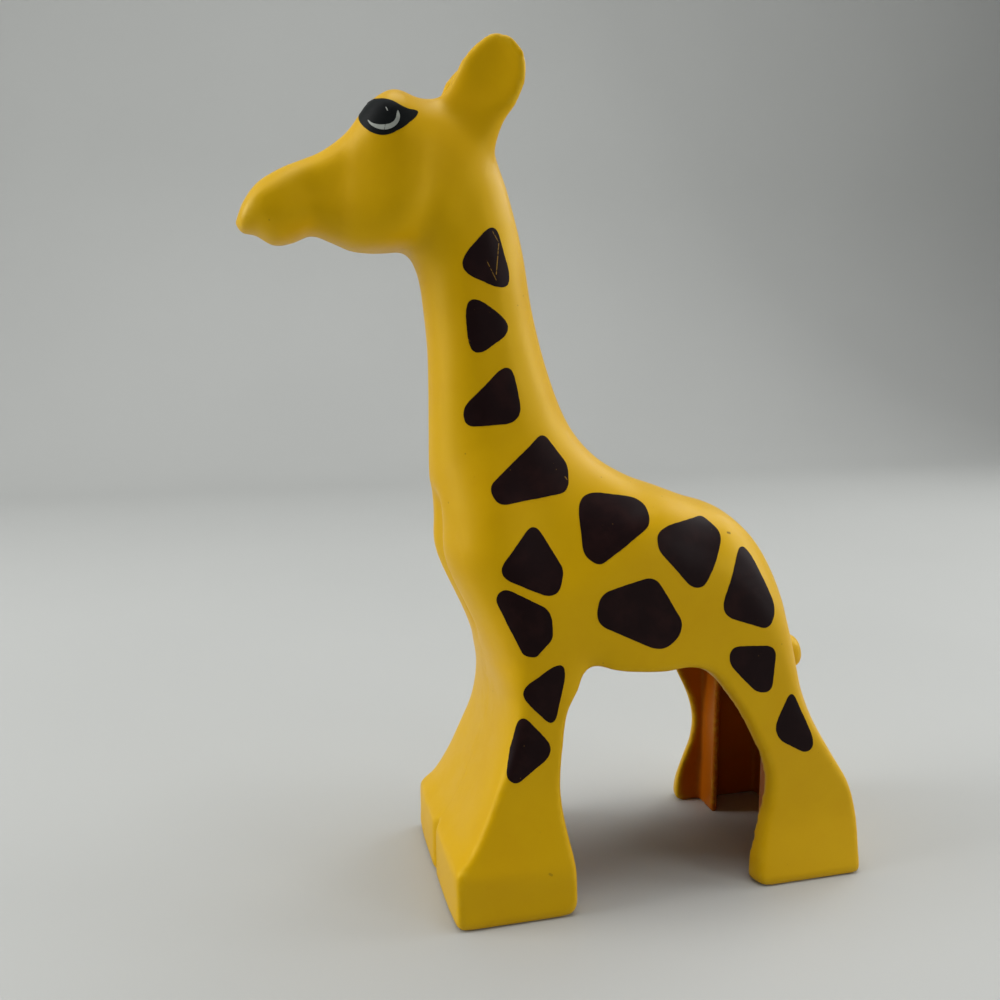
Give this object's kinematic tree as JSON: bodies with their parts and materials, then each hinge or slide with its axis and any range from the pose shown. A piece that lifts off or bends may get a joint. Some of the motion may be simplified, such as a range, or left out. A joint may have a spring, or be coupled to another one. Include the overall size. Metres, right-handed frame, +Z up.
{
  "type": "toy giraffe figure",
  "caption": "Toy giraffe in hard yellow plastic with printed brown spots and eyes, standing on hollow feet that press onto big stacking bricks.",
  "frame": {"origin": "on the floor, under the middle of the overall box", "axes": "+Z up, nose towards -X, the animal's left side towards -Y"},
  "size_m": [0.0889, 0.0318, 0.1196],
  "materials": {
    "yellow_plastic": "satin",
    "brown_ink": "satin",
    "black_ink": "satin",
    "white_ink": "satin"
  },
  "bodies": {
    "root": {"left_shell": "yellow_plastic", "right_shell": "yellow_plastic", "left_spot_neck_high": "brown_ink", "left_spot_neck_middle": "brown_ink", "left_spot_neck_low": "brown_ink", "left_spot_withers": "brown_ink", "left_spot_back_front": "brown_ink", "left_spot_back_rear": "brown_ink", "left_spot_rump": "brown_ink", "left_spot_flank": "brown_ink", "left_spot_shoulder_high": "brown_ink", "left_spot_shoulder_low": "brown_ink", "left_spot_foreleg_high": "brown_ink", "left_spot_foreleg_low": "brown_ink", "left_spot_thigh": "brown_ink", "left_spot_hind_leg": "brown_ink", "left_eye": "black_ink", "left_eye_crescent": "white_ink", "right_spot_neck_high": "brown_ink", "right_spot_neck_middle": "brown_ink", "right_spot_neck_low": "brown_ink", "right_spot_withers": "brown_ink", "right_spot_back_front": "brown_ink", "right_spot_back_rear": "brown_ink", "right_spot_rump": "brown_ink", "right_spot_flank": "brown_ink", "right_spot_shoulder_high": "brown_ink", "right_spot_shoulder_low": "brown_ink", "right_spot_foreleg_high": "brown_ink", "right_spot_foreleg_low": "brown_ink", "right_spot_thigh": "brown_ink", "right_spot_hind_leg": "brown_ink", "right_eye": "black_ink", "right_eye_crescent": "white_ink"}
  },
  "joints": []
}
